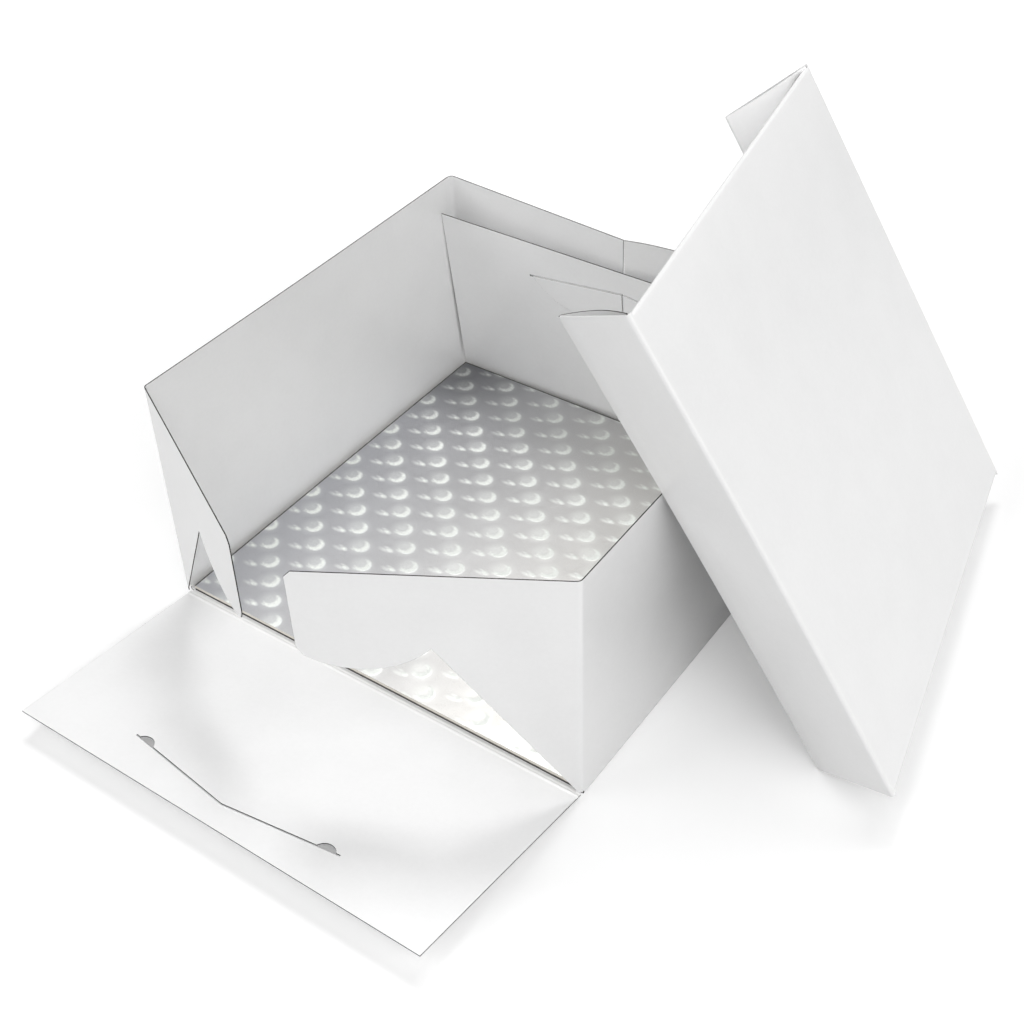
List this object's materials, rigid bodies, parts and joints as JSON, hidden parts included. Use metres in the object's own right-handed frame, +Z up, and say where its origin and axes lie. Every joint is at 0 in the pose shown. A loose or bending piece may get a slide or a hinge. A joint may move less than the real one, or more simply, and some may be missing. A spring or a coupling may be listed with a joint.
{
  "type": "cardboard cake box",
  "caption": "Square folding card cake box with a drop-down front flap, tongued corner ears, a foil-faced cake card and a shallow lift-off lid leaning on its right side.",
  "frame": {"origin": "centre of the box base's underside, on the table", "axes": "+Z up, -Y towards the open front with the drop-down flap, +X towards the leaning lid"},
  "size_m": [0.4182, 0.4697, 0.2671],
  "materials": {
    "white_card": "semi-gloss coated",
    "grey_board": "matte laminated edge",
    "card_paper": "matte",
    "foil": "embossed metallised paper"
  },
  "bodies": {
    "box": {"base_panel": "white_card", "left_wall": "white_card", "right_wall": "white_card", "back_left_ear": "white_card", "back_right_ear": "white_card", "back_flap": "white_card"},
    "flap": {"front_flap": "white_card"},
    "left_ear": {"front_left_ear": "white_card"},
    "right_ear": {"front_right_ear": "white_card"},
    "cake_card": {"card_backing": "card_paper", "card_core_board": "grey_board", "card_foil": "foil"},
    "lid": {"lid_top": "white_card", "lid_near_side": "white_card", "lid_far_side": "white_card", "lid_near_rollover": "white_card", "lid_far_rollover": "white_card", "lid_upper_side": "white_card", "lid_lower_side": "white_card", "lid_upper_near_ear": "white_card", "lid_upper_far_ear": "white_card", "lid_lower_near_ear": "white_card", "lid_lower_far_ear": "white_card"}
  },
  "joints": [
    {"name": "front_flap_crease", "type": "hinge", "parent": "box", "child": "flap", "pos_m": [0, -0.14045, 0.0003], "axis": [-1, 0, 0], "range_deg": [-7.3, 82.7]},
    {"name": "front_left_ear_crease", "type": "hinge", "parent": "box", "child": "left_ear", "pos_m": [-0.1394, -0.1394, 0.0003], "axis": [0.0209, 0, 0.9998], "range_deg": [-2.6, 28.1]},
    {"name": "front_right_ear_crease", "type": "hinge", "parent": "box", "child": "right_ear", "pos_m": [0.1394, -0.1394, 0.0003], "axis": [0, 0, -1], "range_deg": [-2.8, 30.1]},
    {"name": "cake_card_lift", "type": "slide", "parent": "box", "child": "cake_card", "axis": [0, 0, 1], "range_m": [0, 0.012]},
    {"name": "lid_lift_off", "type": "slide", "parent": "box", "child": "lid", "axis": [0.837, 0.1773, 0.5177], "range_m": [0, 0.16]}
  ],
  "couplings": [
    {"joint": "front_left_ear_crease", "follows": "front_flap_crease", "ratio": 0.33857},
    {"joint": "front_right_ear_crease", "follows": "front_flap_crease", "ratio": 0.36276}
  ]
}
